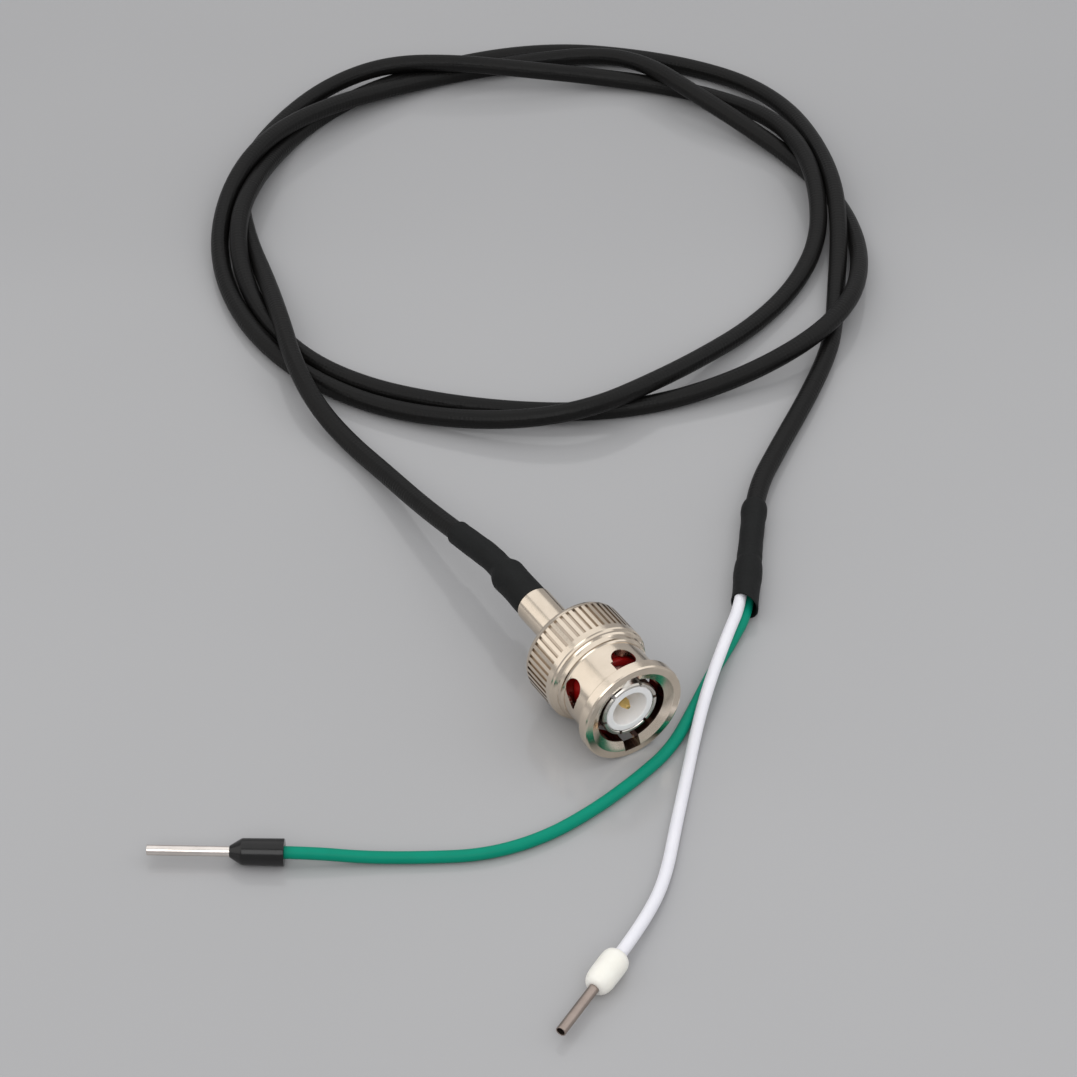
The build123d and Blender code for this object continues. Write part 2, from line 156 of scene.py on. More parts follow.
def metal(name, light, dark, rough=(0.2, 0.34), brush=None, grain=900.0, bump=0.00001, grooves=None):
    """Plated metal: cloudy tone, tool marks round the axis and fine grain."""
    m = Mat(name)
    obj = m.coord("Object")
    cloud = m.noise(obj, 260.0, 5.0, 0.6)
    tone = m.ramp(cloud, [(0.25, dark), (0.75, light)])
    if grooves is not None:
        # painted shade in the knurl's grooves: darker below the given radius about the nut's axis, between two stations
        # in y
        pos = m.node("ShaderNodeSeparateXYZ")
        m.link(obj, pos.inputs["Vector"])
        dz = m.math("SUBTRACT", pos.outputs["Z"], 0.00725)
        r = m.math("SQRT", m.math("ADD", m.math("MULTIPLY", pos.outputs["X"], pos.outputs["X"]), m.math("MULTIPLY", dz, dz)))
        deep = m.span(r, 1.0, 0.0, grooves[0] * 0.001, (grooves[0] + 0.1) * 0.001)
        outer = m.span(r, 0.0, 1.0, (grooves[0] - 0.2) * 0.001, (grooves[0] - 0.16) * 0.001)
        along = m.math("MULTIPLY", m.span(pos.outputs["Y"], 0.0, 1.0, grooves[1] * 0.001, (grooves[1] + 0.05) * 0.001),
                       m.span(pos.outputs["Y"], 1.0, 0.0, (grooves[2] - 0.05) * 0.001, grooves[2] * 0.001))
        mx = m.node("ShaderNodeMix", data_type="RGBA")
        m.link(m.math("MULTIPLY", m.math("MULTIPLY", m.math("MULTIPLY", deep, outer), along), 0.5), mx.inputs["Factor"])
        m.link(tone, mx.inputs["A"])
        mx.inputs["B"].default_value = (0.24, 0.18, 0.13, 1.0)
        # painted shade at the grooves' rear ends, darkening the corner where the floor meets the end wall
        me = m.node("ShaderNodeMix", data_type="RGBA")
        groove_end_shade = m.math("MULTIPLY", m.span(pos.outputs["Y"], 0.0, 1.0, -0.0021, -0.0017), m.math("MULTIPLY", along, m.span(r, 1.0, 0.0, 0.00722, 0.00725)))
        m.link(m.math("MULTIPLY", groove_end_shade, 0.45), me.inputs["Factor"])
        m.link(mx.outputs["Result"], me.inputs["A"])
        me.inputs["B"].default_value = (0.10, 0.082, 0.065, 1.0)
        tone = me.outputs["Result"]
        # painted reflection of the red gasket and painted shade on the polished inside: under the sleeve's skin and
        # behind the mouth's cone
        inside_reflection_mask = m.math("MULTIPLY", m.span(r, 1.0, 0.0, 0.0060, 0.0061), m.span(pos.outputs["Y"], 0.0, 1.0, -0.0149, -0.0146))
        inside_reflection_mask = m.math("MULTIPLY", inside_reflection_mask, m.span(pos.outputs["Y"], 1.0, 0.0, -0.0027, -0.0025))
        mi = m.node("ShaderNodeMix", data_type="RGBA")
        m.link(m.math("MULTIPLY", inside_reflection_mask, 0.8), mi.inputs["Factor"])
        m.link(tone, mi.inputs["A"])
        mi.inputs["B"].default_value = (0.22, 0.055, 0.04, 1.0)
        tone = mi.outputs["Result"]
    m.link(tone, m.b.inputs["Base Color"])
    fine = m.noise(obj, grain * 3, 3.0, 0.7)
    mix = m.math("ADD", m.math("MULTIPLY", cloud, 0.55), m.math("MULTIPLY", fine, 0.45))
    m.link(m.span(mix, rough[0], rough[1], 0.3, 0.7), m.b.inputs["Roughness"])
    if brush is not None:
        lines = m.noise(m.coord("Object", scale=brush), 1.0, 4.0, 0.65)
        height = m.math("ADD", m.math("MULTIPLY", lines, 0.8), m.math("MULTIPLY", fine, 0.3))
    else:
        height = fine
    m.link(m.bump(height, 0.35, bump), m.b.inputs["Normal"])
    m.put(m.b, Metallic=1.0)
    return m.m


NICKEL = metal("nickel_plate", (0.79, 0.69, 0.57), (0.68, 0.585, 0.475), (0.12, 0.22), brush=(90, 9000, 90), bump=0.000012)
NUT = metal("nickel_plate_nut", (0.79, 0.69, 0.57), (0.68, 0.585, 0.475), (0.12, 0.22), brush=(90, 9000, 90), bump=0.000012, grooves=(7.12, -6.1, -1.4))
NICKEL_DULL = metal("nickel_satin", (0.74, 0.71, 0.66), (0.60, 0.57, 0.52), (0.24, 0.36), brush=(90, 7000, 90))
SPRING = metal("spring_steel", (0.62, 0.61, 0.60), (0.42, 0.42, 0.42), (0.25, 0.42), brush=(90, 6000, 90))
GOLD = metal("gold_plate", (0.95, 0.70, 0.28), (0.78, 0.52, 0.17), (0.12, 0.24), brush=(90, 8000, 90), bump=0.000006)
TIN_GREEN = metal("tinned_tube_bright", (0.86, 0.80, 0.75), (0.70, 0.645, 0.60), (0.12, 0.24))
TIN_WHITE = metal("tinned_tube_dark", (0.44, 0.365, 0.32), (0.31, 0.25, 0.22), (0.26, 0.40))
COPPER = metal("copper", (0.86, 0.46, 0.30), (0.66, 0.30, 0.18), (0.22, 0.36))


def strands_mat(name, light, dark):
    m = Mat(name)
    obj = m.coord("Object")
    cloud = m.noise(obj, 1500.0, 4.0)
    m.link(m.ramp(cloud, [(0.3, dark), (0.7, light)]), m.b.inputs["Base Color"])
    m.link(m.span(cloud, 0.25, 0.5, 0.3, 0.7), m.b.inputs["Roughness"])
    m.link(m.bump(m.noise(obj, 4000.0, 3.0), 0.4, 0.00003), m.b.inputs["Normal"])
    m.put(m.b, Metallic=1.0)
    return m.m


STRANDS = strands_mat("tinned_strands", (0.72, 0.71, 0.70), (0.40, 0.39, 0.38))


def plastic(name, light, dark, rough=(0.3, 0.42), cloud_scale=300.0, grain=2500.0, bump=0.00001, strength=0.3, sss=0.0,
            sss_radius=(1, 1, 1), coat=0.0, spec=0.5, scuff=None, depth=0.001):
    """Moulded or extruded plastic: soft clouding, fine grain, slight wear."""
    m = Mat(name)
    obj = m.coord("Object")
    cloud = m.noise(obj, cloud_scale, 5.0, 0.6)
    fine = m.noise(obj, grain, 4.0, 0.65)
    colour = m.ramp(cloud, [(0.28, dark), (0.72, light)])
    if scuff is not None:
        spots = m.noise(obj, 900.0, 6.0, 0.75, 0.6)
        mask = m.span(spots, 0.0, 1.0, 0.66, 0.76)
        mx = m.node("ShaderNodeMix", data_type="RGBA")
        m.link(mask, mx.inputs["Factor"])
        m.link(colour, mx.inputs["A"])
        mx.inputs["B"].default_value = (*scuff, 1.0)
        colour = mx.outputs["Result"]
    m.link(colour, m.b.inputs["Base Color"])
    m.link(m.span(m.math("ADD", m.math("MULTIPLY", cloud, 0.5), m.math("MULTIPLY", fine, 0.5)), rough[0], rough[1], 0.35, 0.65),
           m.b.inputs["Roughness"])
    m.link(m.bump(fine, strength, bump), m.b.inputs["Normal"])
    m.b.inputs["Specular IOR Level"].default_value = spec
    if sss:
        m.b.inputs["Subsurface Weight"].default_value = sss
        m.b.inputs["Subsurface Radius"].default_value = sss_radius
        m.b.inputs["Subsurface Scale"].default_value = depth
    if coat:
        m.b.inputs["Coat Weight"].default_value = coat
        m.b.inputs["Coat Roughness"].default_value = 0.2
    return m.m


PTFE = plastic("ptfe", lin(255, 254, 254), lin(252, 251, 251), (0.32, 0.45), sss=0.25, bump=0.000006)
RED = plastic("red_silicone", (0.33, 0.004, 0.004), (0.20, 0.002, 0.002), (0.3, 0.5), bump=0.00002, spec=0.25)
NYLON_BLACK = plastic("black_polyamide", lin(20, 19, 19), lin(11, 11, 11), (0.14, 0.24), cloud_scale=500.0, bump=0.000008, spec=0.42, scuff=lin(40, 39, 39))
NYLON_IVORY = plastic("ivory_polyamide", lin(254, 249, 239), lin(248, 241, 230), (0.34, 0.48), cloud_scale=400.0, sss=0.7, bump=0.000015)
PE = plastic("polyethylene", lin(225, 228, 228), lin(208, 212, 212), (0.3, 0.45), sss=0.3)


def jacket(name, light, dark, rough, pattern, strength, distance, spec=0.5, sss=0.0, coat=0.0, cloud=200.0, mark=None):
    """Extruded jacket read along its length from the tube's own map: u in metres along it, v round it."""
    m = Mat(name)
    uv = m.coord("UV")
    obj = m.coord("Object")
    clouds = m.noise(obj, cloud, 5.0, 0.6)
    fine = m.noise(obj, 3200.0, 3.0, 0.7)
    streak = m.noise(m.coord("UV", scale=(40.0, 9.0, 1.0)), 1.0, 4.0, 0.6)
    colour = m.ramp(m.math("ADD", m.math("MULTIPLY", clouds, 0.6), m.math("MULTIPLY", streak, 0.4)), [(0.3, dark), (0.7, light)])
    if mark is not None:
        spots = m.noise(m.coord("UV", scale=(900.0, 14.0, 1.0)), 1.0, 5.0, 0.75)
        mask = m.span(spots, 0.0, 0.8, 0.68, 0.78)
        mx = m.node("ShaderNodeMix", data_type="RGBA")
        m.link(mask, mx.inputs["Factor"])
        m.link(colour, mx.inputs["A"])
        mx.inputs["B"].default_value = (*mark, 1.0)
        colour = mx.outputs["Result"]
    m.link(colour, m.b.inputs["Base Color"])
    m.link(m.span(m.math("ADD", m.math("MULTIPLY", clouds, 0.4), m.math("MULTIPLY", fine, 0.6)), rough[0], rough[1], 0.35, 0.65),
           m.b.inputs["Roughness"])
    height = fine
    if pattern == "braid":
        # the screen's plait shows faintly through the thin jacket: two crossing sets of helical ridges
        out = None
        for sign in (1.0, -1.0):
            w = m.node("ShaderNodeTexWave", wave_type="BANDS", bands_direction="X", wave_profile="SIN")
            w.inputs["Scale"].default_value = 1.0
            w.inputs["Distortion"].default_value = 0.0
            mp = m.node("ShaderNodeSeparateXYZ")
            m.link(uv, mp.inputs["Vector"])
            # waves need whole numbers of turns round the tube
            lin_u = m.math("MULTIPLY", mp.outputs["X"], 2 * math.pi * 780.0)
            lin_v = m.math("MULTIPLY", mp.outputs["Y"], sign * 2 * math.pi * 8.0)
            s = m.math("SINE", m.math("ADD", lin_u, lin_v))
            out = s if out is None else m.math("MULTIPLY", out, s)
            m.t.nodes.remove(w)
        patch = m.span(m.noise(obj, 700.0, 3.0, 0.7), 0.0, 1.0, 0.4, 0.66)
        height = m.math("ADD", m.math("MULTIPLY", m.math("MULTIPLY", out, patch), 0.5), m.math("MULTIPLY", fine, 0.35))
    elif pattern == "drawn":
        lines = m.noise(m.coord("UV", scale=(60.0, 26.0, 1.0)), 1.0, 3.0, 0.6)
        height = m.math("ADD", m.math("MULTIPLY", lines, 0.7), m.math("MULTIPLY", fine, 0.3))
    m.link(m.bump(height, strength, distance), m.b.inputs["Normal"])
    m.b.inputs["Specular IOR Level"].default_value = spec
    if sss:
        m.b.inputs["Subsurface Weight"].default_value = sss
        m.b.inputs["Subsurface Radius"].default_value = (1.0, 1.0, 1.0)
        m.b.inputs["Subsurface Scale"].default_value = 0.0012
    if coat:
        m.b.inputs["Coat Weight"].default_value = coat
        m.b.inputs["Coat Roughness"].default_value = 0.25
    return m.m


JACKET = jacket("coax_jacket", lin(19, 18, 17), lin(9, 9, 9), (0.36, 0.50), "braid", 0.9, 0.00007, spec=0.19, mark=lin(92, 80, 68))
SHRINK = jacket("heat_shrink", lin(27, 28, 28), lin(18, 19, 19), (0.5, 0.66), "drawn", 0.4, 0.00003, spec=0.16, cloud=350.0)
GREEN = jacket("green_insulation", (0.0, 0.275, 0.178), (0.0, 0.236, 0.148), (0.42, 0.55), "drawn", 0.25, 0.00002, spec=0.14, cloud=260.0)
WHITE = jacket("white_insulation", lin(238, 237, 243), lin(229, 229, 236), (0.36, 0.48), "drawn", 0.25, 0.00002, spec=0.4, sss=0.7, cloud=260.0)


# ------------------------------------------------------------------ mesh helpers
def obj_from(name, verts, faces, mat, uvs=None, smooth=40.0, crease_sharp=True):
    me = bpy.data.meshes.new(name)
    me.from_pydata([tuple(v) for v in verts], [], faces)
    me.validate()
    if uvs is not None:
        layer = me.uv_layers.new(name="length")
        for poly in me.polygons:
            for li, vi in zip(poly.loop_indices, poly.vertices):
                layer.data[li].uv = uvs(poly.index, vi)
    for p in me.polygons:
        p.use_smooth = True
    if smooth is not None:
        me.set_sharp_from_angle(angle=math.radians(smooth))
    me.update()
    o = bpy.data.objects.new(name, me)
    scene.collection.objects.link(o)
    me.materials.append(mat)
    return o


def spline_curve(name, pts, bevel=0.0, res=8):
    """The route as one open NURBS spline of order 3 that reaches its end points."""
    cu = bpy.data.curves.new(name, "CURVE")
    cu.dimensions = "3D"
    cu.resolution_u = res
    sp = cu.splines.new("NURBS")
    sp.points.add(len(pts) - 1)
    for p, q in zip(sp.points, pts):
        p.co = (q[0] * MM, q[1] * MM, q[2] * MM, 1.0)
    sp.order_u = 3
    sp.use_endpoint_u = True
    cu.bevel_depth = bevel
    o = bpy.data.objects.new(name, cu)
    scene.collection.objects.link(o)
    return o


def line_of(pts, res=8):
    """Points along the route's spline, as Blender evaluates it, in metres."""
    o = spline_curve("route_tmp", pts, 0.0, res)
    bpy.context.view_layer.update()
    dg = bpy.context.evaluated_depsgraph_get()
    me = bpy.data.meshes.new_from_object(o.evaluated_get(dg))
    out = np.array([v.co[:] for v in me.vertices])
    bpy.data.meshes.remove(me)
    cu = o.data
    bpy.data.objects.remove(o)
    bpy.data.curves.remove(cu)
    keep = [0] + [i for i in range(1, len(out)) if np.linalg.norm(out[i] - out[i - 1]) > 1e-7]
    return out[keep]


def transport(line):
    """Tangent and two normals at each point, with no twist along the line."""
    t = np.gradient(line, axis=0)
    t /= np.linalg.norm(t, axis=1)[:, None]
    n = np.cross(t[0], [0, 0, 1.0])
    if np.linalg.norm(n) < 1e-6:
        n = np.cross(t[0], [1.0, 0, 0])
    n /= np.linalg.norm(n)
    ns, bs = [], []
    for i in range(len(line)):
        n = n - t[i] * (n @ t[i])
        n /= np.linalg.norm(n)
        ns.append(n.copy())
        bs.append(np.cross(t[i], n))
    return t, np.array(ns), np.array(bs)


def tube(name, line, radius, mat, seg=32, shape=None, caps=(True, True), smooth=50.0, hollow=None):
    """A closed tube along line. radius is a number or a function of the distance along it; shape(s, angle) scales it."""
    line = np.asarray(line, float)
    s = np.r_[0, np.cumsum(np.linalg.norm(np.diff(line, axis=0), axis=1))]
    t, n, b = transport(line)
    verts, faces, uvs = [], [], []
    for i, p in enumerate(line):
        r = radius(s[i]) if callable(radius) else radius
        for k in range(seg):
            a = 2 * math.pi * k / seg
            rr = r * (shape(s[i], a) if shape else 1.0)
            verts.append(p + (n[i] * math.cos(a) + b[i] * math.sin(a)) * rr)
    N = len(line)
    for i in range(N - 1):
        for k in range(seg):
            j = (k + 1) % seg
            faces.append((i * seg + k, i * seg + j, (i + 1) * seg + j, (i + 1) * seg + k))
    nring = len(faces)
    if caps[0]:
        faces.append(tuple(range(seg))[::-1])
    if caps[1]:
        faces.append(tuple((N - 1) * seg + k for k in range(seg)))

    def uvf(fi, vi):
        i, k = divmod(vi, seg)
        v = k / seg
        if fi < nring and fi % seg == seg - 1 and k == 0:
            v = 1.0
        return (s[i], v)
    return obj_from(name, verts, faces, mat, uvf, smooth)


def lathe(name, origin, direction, profile, mat, seg=64, smooth=32.0, warp=None):
    """A closed ring-shaped solid turned about a line; profile is a closed loop of (distance along, radius) in mm."""
    o = Vector(origin) * MM
    d = Vector(direction).normalized()
    u = d.cross(Vector((0, 0, 1)))
    u = (u if u.length > 1e-6 else Vector((1, 0, 0))).normalized()
    v = d.cross(u)
    verts, faces = [], []
    P = len(profile)
    acc = [0.0]
    for (a0, r0), (a1, r1) in zip(profile, profile[1:] + profile[:1]):
        acc.append(acc[-1] + math.hypot(a1 - a0, r1 - r0))
    for t, r in profile:
        for k in range(seg):
            a = 2 * math.pi * k / seg
            rr = r * (warp(t, a) if warp else 1.0)
            verts.append(o + d * t * MM + (u * math.cos(a) + v * math.sin(a)) * rr * MM)
    for i in range(P):
        i2 = (i + 1) % P
        for k in range(seg):
            j = (k + 1) % seg
            faces.append((i * seg + k, i2 * seg + k, i2 * seg + j, i * seg + j))

    def uvf(fi, vi):
        i, k = divmod(vi, seg)
        fr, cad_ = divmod(fi, seg)
        return (acc[i if not (fr == P - 1 and i == 0) else P] * MM, 1.0 if (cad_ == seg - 1 and k == 0) else k / seg)
    ob = obj_from(name, verts, faces, mat, uvf, smooth)
    bm = bmesh.new()
    bm.from_mesh(ob.data)
    bmesh.ops.recalc_face_normals(bm, faces=bm.faces)
    bm.to_mesh(ob.data)
    bm.free()
    ob.data.set_sharp_from_angle(angle=math.radians(smooth))
    return ob


def rounded(profile, rad, steps=4, closed=True):
    """The profile loop with each corner rounded off by rad (a number or a list)."""
    out = []
    P = len(profile)
    for i in range(P):
        p0, p1, p2 = (np.array(profile[(i + k) % P], float) for k in (-1, 0, 1))
        r = rad[i] if isinstance(rad, (list, tuple)) else rad
        a, b = p0 - p1, p2 - p1
        la, lb = np.linalg.norm(a), np.linalg.norm(b)
        if la < 1e-9 or lb < 1e-9:
            out.append(tuple(p1))
            continue
        cut = min(r, la * 0.45, lb * 0.45)
        turn = math.acos(max(-1, min(1, -(a @ b) / la / lb)))
        if cut < 1e-4 or turn < 0.12:
            out.append(tuple(p1))
            continue
        q0, q2 = p1 + a / la * cut, p1 + b / lb * cut
        for k in range(steps + 1):
            f = k / steps
            out.append(tuple((1 - f) ** 2 * q0 + 2 * f * (1 - f) * p1 + f * f * q2))
    return out


def lump(s, a, seed, scale, amp):
    """Smooth irregularity round a tube, from 3-D noise."""
    return 1.0 + amp * noise.noise(Vector((math.cos(a) * 0.9 + seed, math.sin(a) * 0.9, s * scale)))


def repaint(node, *mats):
    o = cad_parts[node]
    for i in range(max(1, len(o.data.materials))):
        if i < len(o.data.materials):
            o.data.materials[i] = mats[min(i, len(mats) - 1)]
        else:
            o.data.materials.append(mats[0])


# ------------------------------------------------------------------ routes, in mm
SLEEVE_S = Vector((39.46, 15.02, 1.95))
SLEEVE_M = Vector((26.71, -1.37, 1.95))
SD = (SLEEVE_M - SLEEVE_S).normalized()
SN = Vector((0, 0, 1)).cross(SD).normalized()
if SN.x > 0:
    SN = -SN
WHITE_OFF = SN * 0.52 + Vector((0, 0, 0.615))
GREEN_OFF = -WHITE_OFF

COAX = [(0, 15.2, 7.25), (0, 19.4, 7.25), (-0.42, 27.4, 5.80), (-0.78, 37.0, 4.05), (-0.62, 47.6, 2.2), (-1.15, 56.6, 1.42),
        (-2.0, 64.4, 2.9), (-0.78, 73.61, 4.29), (2.72, 84.26, 4.26), (6.21, 95.36, 2.79), (9.22, 106.4, 1.46),
        (13.03, 116.98, 1.37), (19.65, 126.07, 1.43), (29.31, 132.69, 1.65), (39.8, 136.17, 2.54), (49.46, 134.63, 3.92),
        (58.29, 128.73, 4.47), (67.63, 122.27, 3.56), (77.53, 116.56, 2.0), (86.09, 109.29, 1.37), (91.98, 99.93, 1.81),
        (94.01, 89.44, 3.37), (92.12, 79.01, 4.44), (87.89, 69.05, 3.89), (81.87, 60.37, 2.44), (73.11, 53.89, 1.38),
        (62.46, 49.23, 1.38), (51.18, 45.9, 2.48), (40.51, 43.27, 3.91), (30.72, 42.49, 4.25), (21.88, 45.98, 3.29),
        (13.55, 52.91, 2.04), (6.06, 61.78, 1.42), (1.07, 72.47, 1.37), (-0.87, 84.44, 1.37), (0.43, 96.36, 1.38),
        (4.08, 106.83, 1.97), (9.76, 115.22, 3.31), (16.9, 121.72, 4.55), (25.38, 126.52, 4.68), (35.52, 129.35, 3.73),
        (47.21, 130.51, 2.27), (59.91, 129.68, 1.37), (72.17, 126.17, 1.55), (81.24, 120.49, 2.79), (84.97, 112.4, 4.08),
        (86.55, 102.85, 4.04), (89.55, 92.72, 2.7), (91.98, 81.76, 1.46), (91.69, 70.07, 1.37), (88.0, 58.82, 1.88),
        (81.78, 49.4, 3.17), (74.24, 42.77, 4.22), (65.11, 39.56, 3.75), (54.19, 39.24, 2.33), (42.51, 40.85, 1.39),
        (31.66, 44.69, 1.36), (22.19, 50.67, 1.5), (13.92, 57.99, 1.57), (7.14, 66.28, 1.51), (2.91, 76.02, 1.36),
        (1.87, 87.32, 1.4), (3.83, 98.76, 2.67), (8.27, 108.35, 4.17), (14.58, 115.89, 3.95), (21.72, 122.69, 2.37),
        (30.26, 128.79, 1.38), (41.33, 132.55, 1.36), (54.37, 133.03, 1.37), (67.13, 130.87, 1.37), (77.74, 126.22, 1.37),
        (86.02, 119.27, 1.37), (92.87, 111.52, 1.37), (97.47, 102.56, 1.66), (98.19, 92.12, 2.55), (95.57, 80.92, 3.7),
        (91.48, 70.22, 4.26), (86.43, 61.57, 3.65), (81.7, 54.95, 2.44), (77.6, 49.64, 1.58), (73.81, 44.55, 1.37),
        (68.74, 38.73, 1.38), (60.4, 31.9, 1.36), (49.6, 24.1, 1.38), tuple(SLEEVE_S - SD * 3.6), tuple(SLEEVE_S + SD * 2.0)]

WHITE_END = Vector((-21.04, -45.12, 1.84))
WHITE_DIR = Vector((-0.884, -0.468, 0)).normalized()
GREEN_END = Vector((-46.97, -9.06, 1.76))
GREEN_DIR = Vector((-0.8395, 0.5438, 0)).normalized()
WZ = 0.81
WHITE_PTS = [tuple(SLEEVE_M - SD * 5.4 + WHITE_OFF), tuple(SLEEVE_M + SD * 0.3 + WHITE_OFF), (21.3, -5.3, 2.56),
             (13.3, -12.5, 2.44), (7.9, -17.9, 1.16), (2.6, -23.8, WZ), (-2.9, -29.9, WZ), (-7.7, -35.4, 0.86),
             (-11.9, -39.3, 1.15), tuple(WHITE_END - WHITE_DIR * 3.0), tuple(WHITE_END + WHITE_DIR * 2.0)]
GREEN_PTS = [tuple(SLEEVE_M - SD * 5.4 + GREEN_OFF), tuple(SLEEVE_M + SD * 0.3 + GREEN_OFF), (21.7, -5.5, WZ),
             (16.4, -9.0, WZ), (11.0, -13.1, WZ), (4.3, -17.95, WZ), (-2.7, -20.3, WZ), (-10.2, -22.1, WZ),
             (-18.0, -22.9, WZ), (-25.6, -21.6, WZ), (-32.4, -18.0, 0.83), (-38.8, -14.2, 1.0),
             tuple(GREEN_END - GREEN_DIR * 3.5), tuple(GREEN_END + GREEN_DIR * 2.0)]


# ------------------------------------------------------------------ cords
coax_line = line_of(COAX, 12)
coax = tube("coax", coax_line, 1.35 * MM, JACKET, 36)
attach(coax, "plug")
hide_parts("coax_lead", "coax_coil", "coax_tail")

white_line = line_of(WHITE_PTS, 14)
white = tube("white_lead_wire", white_line, 0.8 * MM, WHITE, 32)
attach(white, "plug")
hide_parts("white_wire")

green_line = line_of(GREEN_PTS, 14)
green = tube("green_lead_wire", green_line, 0.8 * MM, GREEN, 32)
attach(green, "plug")
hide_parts("green_wire")


# ------------------------------------------------------------------ heat-shrink boot
def radius_table(rows):
    xs, ys = zip(*rows)
    return lambda s: float(np.interp(s, xs, ys))


def smooth_table(rows, width):
    f = radius_table(rows)
    return lambda s: sum(f(s + width * k / 4) for k in range(-4, 5)) / 9


def shell(name, line, outer, inner, mat, seg=48, lumps=None, slant=None):
    """A tube with a wall: outer skin, rolled end lips and the inner skin, along line (metres)."""
    line = np.asarray(line, float)
    s = np.r_[0, np.cumsum(np.linalg.norm(np.diff(line, axis=0), axis=1))]
    t, n, b = transport(line)
    rings = []
    N = len(line)
    lip = 0.12 * MM

    def ring(i, r, shift=0.0, which="o"):
        c = line[i] + t[i] * shift
        out = []
        for k in range(seg):
            a = 2 * math.pi * k / seg
            rr = r * (lumps(s[i], a, which) if lumps else 1.0)
            side = n[i] * math.cos(a) + b[i] * math.sin(a)
            # a cut that isn't square: the upper side stops short, fading in over the last few millimetres
            back = 0.0 if slant is None else slant[0] * max(0.0, 1 - (s[-1] - s[i]) / slant[1]) * (slant[2] + side @ np.array(slant[3]))
            out.append(c + side * rr - t[i] * back)
        return out
    meta = []
    for i in range(N):
        rings.append(ring(i, outer(s[i])))
        meta.append(s[i])
    ro, ri = outer(s[-1]), inner(s[-1])
    for f in (0.25, 0.5, 0.75):
        rings.append(ring(N - 1, ro + (ri - ro) * f, lip * math.sin(math.pi * f), "m"))
        meta.append(s[-1] + 0.0003 * f)
    for i in range(N - 1, -1, -1):
        rings.append(ring(i, inner(s[i]), 0.0, "i"))
        meta.append(s[i])
    ro, ri = outer(s[0]), inner(s[0])
    for f in (0.25, 0.5, 0.75):
        rings.append(ring(0, ri + (ro - ri) * f, -lip * math.sin(math.pi * f), "m"))
        meta.append(s[0] - 0.0003 * f)
    verts = [v for r in rings for v in r]
    R = len(rings)
    faces = []
    for i in range(R):
        i2 = (i + 1) % R
        for k in range(seg):
            j = (k + 1) % seg
            faces.append((i * seg + k, i * seg + j, i2 * seg + j, i2 * seg + k))

    def uvf(fi, vi):
        i, k = divmod(vi, seg)
        fr, fc = divmod(fi, seg)
        return (meta[i], 1.0 if (fc == seg - 1 and k == 0) else k / seg)
    return obj_from(name, verts, faces, mat, uvf, 55.0)


boot_top = line_of([(0, 8.95, 7.25), (0, 13.0, 7.25), (0, 17.2, 7.25), (0, 19.4, 7.25), (-0.42, 27.4, 5.80), (-0.78, 37.0, 4.05)], 24)
s_all = np.r_[0, np.cumsum(np.linalg.norm(np.diff(boot_top, axis=0), axis=1))]
boot_line = np.array([[np.interp(q, s_all, boot_top[:, k]) for k in range(3)] for q in np.linspace(0, 18.8 * MM, 150)])
boot_r = smooth_table([(0, 2.30 * MM), (0.0003, 2.35 * MM), (0.0024, 2.37 * MM), (0.0044, 2.33 * MM), (0.0056, 2.37 * MM), (0.0064, 2.40 * MM),
                       (0.0069, 2.24 * MM), (0.0078, 1.82 * MM), (0.0083, 1.73 * MM), (0.0108, 1.74 * MM), (0.0120, 1.77 * MM), (0.0135, 1.73 * MM),
                       (0.0160, 1.74 * MM), (0.0178, 1.71 * MM), (0.0190, 1.70 * MM)], 0.00035)
boot = shell("boot", boot_line, boot_r, radius_table([(0, 2.09 * MM), (0.0066, 2.09 * MM), (0.0068, 1.43 * MM), (0.03, 1.43 * MM)]), SHRINK,
             lumps=lambda s, a, w: 1.0 if w == "i" else lump(s, a, 3.0, 420.0, 0.02) * lump(s, a, 9.0, 1300.0, 0.006))
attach(boot, "plug")
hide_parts("strain_boot")

# ------------------------------------------------------------------ breakout sleeve
L = (SLEEVE_M - SLEEVE_S).length
sl_line = np.array([(SLEEVE_S + SD * t) * MM for t in np.linspace(0, L, 170)])
sl_r = smooth_table([(0, 1.62 * MM), (0.0003, 1.76 * MM), (0.0009, 1.84 * MM), (0.0018, 1.83 * MM), (0.0027, 1.72 * MM), (0.0036, 1.66 * MM),
                     (0.0060, 1.69 * MM), (0.0078, 1.66 * MM), (0.0096, 1.70 * MM), (0.0110, 1.75 * MM), (0.0116, 1.69 * MM), (0.0123, 1.84 * MM),
                     (0.0132, 1.93 * MM), (0.0144, 1.97 * MM), (0.0155, 1.95 * MM), (0.0163, 1.87 * MM), (0.0176, 1.83 * MM), (0.0190, 1.83 * MM),
                     (0.0201, 1.87 * MM), (0.0206, 1.90 * MM), (0.0209, 1.88 * MM)], 0.00032)


def sl_lump(s, a, w):
    if w == "i":
        return 1.0
    return lump(s, a, 5.0, 380.0, 0.022) * lump(s, a, 1.0, 1500.0, 0.006)


sleeve = shell("breakout", sl_line, sl_r, radius_table([(0, 1.40 * MM), (0.0031, 1.40 * MM), (0.0034, 1.48 * MM), (0.0134, 1.48 * MM), (0.0142, 1.64 * MM), (0.03, 1.64 * MM)]),
               SHRINK, lumps=sl_lump, slant=(0.85 * MM, 6.0 * MM, 0.25, tuple(SN * 0.9 + Vector((0, 0, 0.35)))))
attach(sleeve, "plug")
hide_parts("breakout_sleeve")

